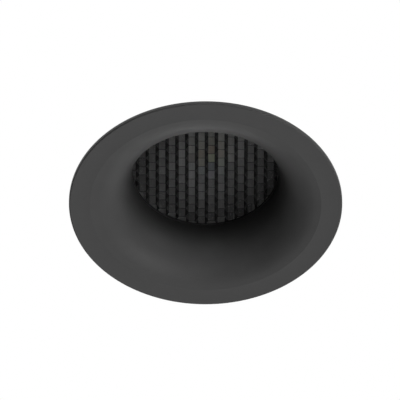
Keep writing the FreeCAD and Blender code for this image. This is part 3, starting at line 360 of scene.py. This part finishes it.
def trim_profile():
    """Cross-section of the die-cast trim, anticlockwise from the flange's face: the flare is a
    circle about (RIM, FLARE_Z) that runs out 10 degrees short of level, then straight along its
    tangent to a crisp line on the flat rim, FLARE tan 5 = 1.39 mm inside the circle's lowest
    point. Its back is a circle about the same centre."""
    flare = bend_of((RIM, FLARE_Z), FLARE, 180, 270 - BREAK, 45)
    line = np.array([RIM - FLARE * np.tan(np.radians(BREAK / 2)), FACE])
    slope = np.array([-np.cos(np.radians(BREAK)), np.sin(np.radians(BREAK))])
    flare = np.concatenate([flare, [line + slope * 0.06, line]])
    shell = bend_of((RIM, FLARE_Z), SHELL, 254.56, 223.4, 12)
    ledge = SPIGOT - 1.6
    outer = rounded([(FLANGE_EDGE, FACE, 0.5), (FLANGE_EDGE, FLANGE_BACK, 0.15),
                     (SPIGOT, FLANGE_BACK, 0.1), (SPIGOT, SPIGOT_TOP, 0.3),
                     (ledge, SPIGOT_TOP, 0.3), (ledge, shell[0, 1], 0.3), (34.0, 0.0, 0)], 7)[:-1]
    collar = rounded([(COLLAR, shell[-1, 1], 0.3), (COLLAR, COLLAR_TOP, 0.2), (BORE, COLLAR_TOP, 0.2),
                      (BORE, GROOVE_HIGH, 0.05), (GROOVE, GROOVE_HIGH, 0.05),
                      (GROOVE, GROOVE_LOW, 0.05), (BORE, GROOVE_LOW, 0.05), (BORE, BORE_FLOOR, 0.05),
                      (THROAT, BORE_FLOOR, 0.12), (THROAT, 13.4, 0), (30.0, 5.0, 0)], 5)[:-2]
    return np.concatenate([flare, [line + (0.06, 0)], outer, shell[1:-1], collar])


def boss(angle):
    """Round screw boss with a blind hole; each point of its foot drops 1 mm into the flared
    shell, to height FLARE_Z - sqrt((FLARE - 1)^2 - (RIM - r)^2)."""
    profile = rounded([(BOSS, 0.0, 0), (BOSS, COLLAR_TOP, 0.25), (BOSS_HOLE, COLLAR_TOP, 0.1),
                       (BOSS_HOLE, BOSS_FLOOR, 0.1), (0.02, BOSS_FLOOR, 0), (0.02, 0.0, 0)], 4)
    centre = BOSS_RING * np.array([np.cos(angle), np.sin(angle)])
    points, quads = spun(profile, 48, centre)
    inward = RIM - np.hypot(points[:, 0], points[:, 1])
    foot = FLARE_Z - np.sqrt((FLARE - 1.0) ** 2 - np.clip(inward, 0, 11) ** 2)
    points[:, 2] = np.where(points[:, 2] < 1, foot, points[:, 2])
    return points, quads


trim = piece("trim_surface", [spun(trim_profile(), 256)]
             + [boss(np.radians(a)) for a in (90, 210, 330)], finishes["trim_black"])
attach(trim, "root")
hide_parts("trim_bezel")

# ---------------------------------------------------------------- honeycomb louvre

CELL, WALL = 3.966, 0.2                       # across a cell's flats, and its wall
CORE_LOW, CORE_HIGH, CORE_EDGE = 15.55, 21.55, 25.9


def honeycomb():
    """Hexagonal cells with flats across Y on a triangular grid: centre (x0 + 0.866 p i,
    y0 + p j + p/2 on odd columns). Each cell is a ring of six walls from its own inner hexagon to
    the shared middle lines. Every cell that reaches the throat is there, and points past the
    disc's edge are drawn back onto it. The glued walls carry a painted highlight that is brightest
    near (0, -6) and falls off into painted shade from there as exp of a second-degree polynomial,
    with painted reflection tints of the light chamber centred near (1.5, -6.5)."""
    step = CELL * np.sqrt(3) / 2
    column, row = np.meshgrid(np.arange(-9, 10), np.arange(-9, 10), indexing="ij")
    x = -1.38 + column * step
    y = 0.1 + row * CELL + (column % 2) * CELL / 2
    centres = np.stack([x.ravel(), y.ravel()], 1)
    random = np.random.default_rng(7)
    angle = np.radians(60 * np.arange(6))
    hexagon = np.stack([np.cos(angle), np.sin(angle)], 1)
    outer = centres[:, None] + hexagon * CELL / np.sqrt(3)
    reaches = np.linalg.norm(outer, axis=2).min(1) < THROAT
    centres, outer = centres[reaches], outer[reaches]
    inner = centres[:, None] + hexagon * (CELL - WALL) / np.sqrt(3)
    count = len(centres)
    middle = (CORE_LOW + CORE_HIGH) / 2
    rings = [(outer, CORE_LOW), (inner, CORE_LOW), (inner, middle), (inner, CORE_HIGH),
             (outer, CORE_HIGH)]
    points = np.concatenate([np.concatenate([xy, np.full((count, 6, 1), z)], 2) for xy, z in rings], 1)
    reach = np.hypot(points[..., 0], points[..., 1])
    points[..., :2] *= np.minimum(1, CORE_EDGE / reach)[..., None]
    quads = wrapped(5, 6)[None] + (np.arange(count) * 30)[:, None, None]
    kind = np.broadcast_to(np.repeat([0, 1, 1, 0, 0], 6), (count, 30)).copy()
    side = np.tile(np.arange(6), 5)
    flat = (side == 1) | (side == 4)
    kind = np.where((kind == 1) & flat[None], 2, kind)
    tone = random.random((count, 6))
    # Painted reflection of the light chamber on the glued walls: strongest near (1.5, -6.5), with its tint
    # running along Y.
    glint = np.exp(-(((centres - (1.5, -6.5)) / (3.6, 5.0)) ** 2 / 2).sum(1))
    glint = glint[:, None] * random.uniform(0.4, 0.65, (count, 6))
    along, across = centres.T
    hue = ((across + 14) / 15)[:, None] + random.uniform(-0.16, 0.16, (count, 6))
    # Painted highlight and shade: the share of the glued walls' painted highlight that is kept, highest near
    # (0, -6).
    fade = np.exp(-0.17 - 0.0041 * along - 0.0165 * across
                  - 0.00198 * along ** 2 - 0.00086 * along * across - 0.0014 * across ** 2)
    fade = fade[:, None] * random.uniform(0.92, 1.0, (count, 6))
    looks = [kind.ravel()] + [values[:, side].ravel() for values in (tone, glint, hue, fade)]
    return (points.reshape(-1, 3), quads.reshape(-1, 4)), looks


cells, looks = honeycomb()
band = spun(np.array([[THROAT, CORE_LOW], [CORE_EDGE + 0.1, CORE_LOW],
                      [CORE_EDGE + 0.1, CORE_HIGH], [THROAT, CORE_HIGH]]), 96)
# The band round the disc's edge is drawn as a glued wall with 0.35 of its painted highlight and no painted
# tint.
louvre = piece("louvre_cells", [cells, band], finishes["louvre_foil"],
               {label: np.concatenate([values, np.full(len(band[1]), rest)]) for label, rest, values
                in zip(("wall", "tone", "glint", "hue", "fade"), (2, 0.5, 0, 0, 0.35), looks)})
louvre.data.polygons.foreach_set("use_smooth", np.zeros(len(louvre.data.polygons), bool))
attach(louvre, "root")
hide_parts("louvre_honeycomb")

# ---------------------------------------------------------------- torsion springs

PIN = np.array([35.2, 0.0, 36.85])


def torsion_spring(side):
    """Round wire along a path: a straight leg in the bracket plate, a helix of 3 mm radius that
    sinks 1.75 mm a turn along -Y, and a straight leg along the arm's tangent."""
    radius, pitch, wire, arm = 3.0, 1.75, 0.6, np.radians(50)
    lift, rest = 1.13, 14.0
    away = np.hypot(rest, lift)
    leave = np.arctan2(lift, rest) + np.arccos(radius / away) - arm
    sweep = TURN * 4 + np.pi / 2 - leave
    climb = pitch / TURN
    angle = np.pi / 2 - np.linspace(0, sweep, 220)
    coil = PIN + np.stack([radius * np.cos(angle), 3.675 - climb * (np.pi / 2 - angle),
                           radius * np.sin(angle)], 1)
    heading = np.stack([radius * np.sin(angle), np.full_like(angle, -climb), -radius * np.cos(angle)], 1)
    heading /= np.linalg.norm(heading, axis=1)[:, None]
    anchor = coil[0] - heading[0] * np.linspace(4.9, 0.2, 8)[:, None]
    free = coil[-1] + heading[-1] * np.linspace(0.2, np.sqrt(away ** 2 - radius ** 2), 16)[:, None]
    path = np.concatenate([anchor, coil, free])
    along = np.gradient(path, axis=0)
    along /= np.linalg.norm(along, axis=1)[:, None]
    across = np.cross(along, [0, 1, 0])
    across /= np.linalg.norm(across, axis=1)[:, None]
    up = np.cross(across, along)
    round_ = np.linspace(0, TURN, 14, endpoint=False)
    ends = np.array([0.02, 0.7, 1.0])
    path = np.concatenate([path[[0] * 3], path[1:-1], path[[-1] * 3]])
    across = np.concatenate([across[[0] * 3], across[1:-1], across[[-1] * 3]])
    up = np.concatenate([up[[0] * 3], up[1:-1], up[[-1] * 3]])
    size = np.concatenate([ends, np.ones(len(path) - 6), ends[::-1]])
    slide = np.zeros(len(path))
    slide[[1, 2]], slide[[-3, -2]] = (0.03, 0.2), (-0.2, -0.03)
    path = path + np.cross(up, across) * -slide[:, None]
    points = (path[:, None] + wire * size[:, None, None]
              * (np.cos(round_)[:, None] * across[:, None] + np.sin(round_)[:, None] * up[:, None]))
    points = points.reshape(-1, 3)
    if side == "left":
        points = points * [-1, -1, 1]
    return points, wrapped(len(path), len(round_), close_rows=False)


for side, way in (("right", 1), ("left", -1)):
    spring = piece("spring_wire_" + side, [torsion_spring(side)], finishes["spring_steel"])
    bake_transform(spring)
    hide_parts("torsion_spring_" + side)

# ---------------------------------------------------------------- soffit board, camera, light


def shade(name, colour, glow=0.0):
    """A pale painted board; glow makes its face even white, as the photograph's cut-out ground is."""
    material = bpy.data.materials.new(name)
    material.use_nodes = True
    tree = material.node_tree
    surface = tree.nodes["Principled BSDF"]
    place = add(tree, "TexCoord").outputs["Object"]
    grain = add(tree, "TexNoise", {"Vector": place, "Scale": 400.0, "Detail": 3.0})
    bump = add(tree, "Bump", {"Height": grain.outputs["Fac"], "Distance": 0.02 * MM})
    tree.links.new(bump.outputs[0], surface.inputs["Normal"])
    surface.inputs["Base Color"].default_value = linear(colour)
    surface.inputs["Roughness"].default_value = 0.7
    if glow:
        surface.inputs["Base Color"].default_value = (0, 0, 0, 1)
        surface.inputs["Specular IOR Level"].default_value = 0
        surface.inputs["Emission Color"].default_value = (1, 1, 1, 1)
        surface.inputs["Emission Strength"].default_value = glow
    return material


def board(name, low, high, material):
    """Soffit board with its round cut-out: rings from 40 mm out to 4 m."""
    profile = np.array([[40.0, low], [4000.0, low], [4000.0, high], [40.0, high]])
    item = piece(name, [spun(profile, 128)], material)
    item.data.polygons.foreach_set("use_smooth", np.zeros(len(item.data.polygons), bool))


board("soffit_underside", 0.1, 0.2, shade("ceiling_white", "#ffffff", 1.0))
board("soffit_board", 0.3, 4.2, shade("board_pale", "#e4e4e1"))

camera = bpy.data.objects.new("camera", bpy.data.cameras.new("camera"))
camera.data.lens, camera.data.sensor_width = 800, 36
camera.data.clip_end = 20
bpy.context.collection.objects.link(camera)
bpy.context.scene.camera = camera
ELEVATION = np.radians(47.33)
ahead = Vector((0, float(np.cos(ELEVATION)), float(np.sin(ELEVATION))))
upright = Vector((0, -ahead.z, ahead.y))
target = Vector((-1.94 * MM, 0, FACE * MM)) + upright * 1.98 * MM
camera.location = target - ahead * 3.088
camera.rotation_mode = "QUATERNION"
camera.rotation_quaternion = Matrix((Vector((1, 0, 0)), upright, -ahead)).transposed().to_quaternion()

# Softboxes aimed at the lamp: azimuth from +X, elevation (degrees), distance, width (m), watts.
LAMPS = {
    "room_key": (0, -60, 1.6, 0.25, 9.9),
    "room_far": (90, -60, 1.6, 0.25, 4.9),
    "room_near": (270, -60, 1.6, 0.25, 3.7),
    "window_right": (330, -10, 1.6, 0.25, 4.9),
    "window_right_far": (30, -10, 1.6, 0.25, 2.2),
    "window_far": (90, -10, 1.6, 0.25, 3.4),
    "window_far_right": (60, -10, 1.6, 0.25, 2.3),
    "window_far_left": (120, -10, 1.6, 0.25, 0.9),
    "window_near": (270, -10, 1.6, 0.25, 3.2),
    "void_key": (235, 48, 1.6, 0.7, 24.0),
    "void_fill": (20, 38, 1.6, 0.9, 14.0),
    "void_rim": (110, 30, 1.6, 0.6, 8.0),
}
for label, (azimuth, height, distance, width, watts) in LAMPS.items():
    turn, rise = np.radians(azimuth), np.radians(height)
    level = float(np.cos(rise))
    towards = Vector((float(np.cos(turn)) * level, float(np.sin(turn)) * level, float(np.sin(rise))))
    lamp = bpy.data.objects.new(label, bpy.data.lights.new(label, "AREA"))
    lamp.data.size, lamp.data.energy = width, watts
    lamp.location = towards * distance
    lamp.rotation_mode = "QUATERNION"
    lamp.rotation_quaternion = towards.to_track_quat("Z", "Y")
    lamp.visible_camera = False
    bpy.context.collection.objects.link(lamp)

world = bpy.data.worlds.new("studio")
bpy.context.scene.world = world
world.use_nodes = True
tree = world.node_tree
seen = add(tree, "LightPath").outputs["Is Camera Ray"]
soft = add(tree, "Background", {"Color": (1, 1, 1, 1), "Strength": 0.02})
plain = add(tree, "Background", {"Color": (1, 1, 1, 1), "Strength": 1.0})
both = add(tree, "MixShader", {0: seen, 1: soft.outputs[0], 2: plain.outputs[0]})
tree.links.new(both.outputs[0], tree.nodes["World Output"].inputs["Surface"])
bpy.context.scene.view_settings.view_transform = "Standard"
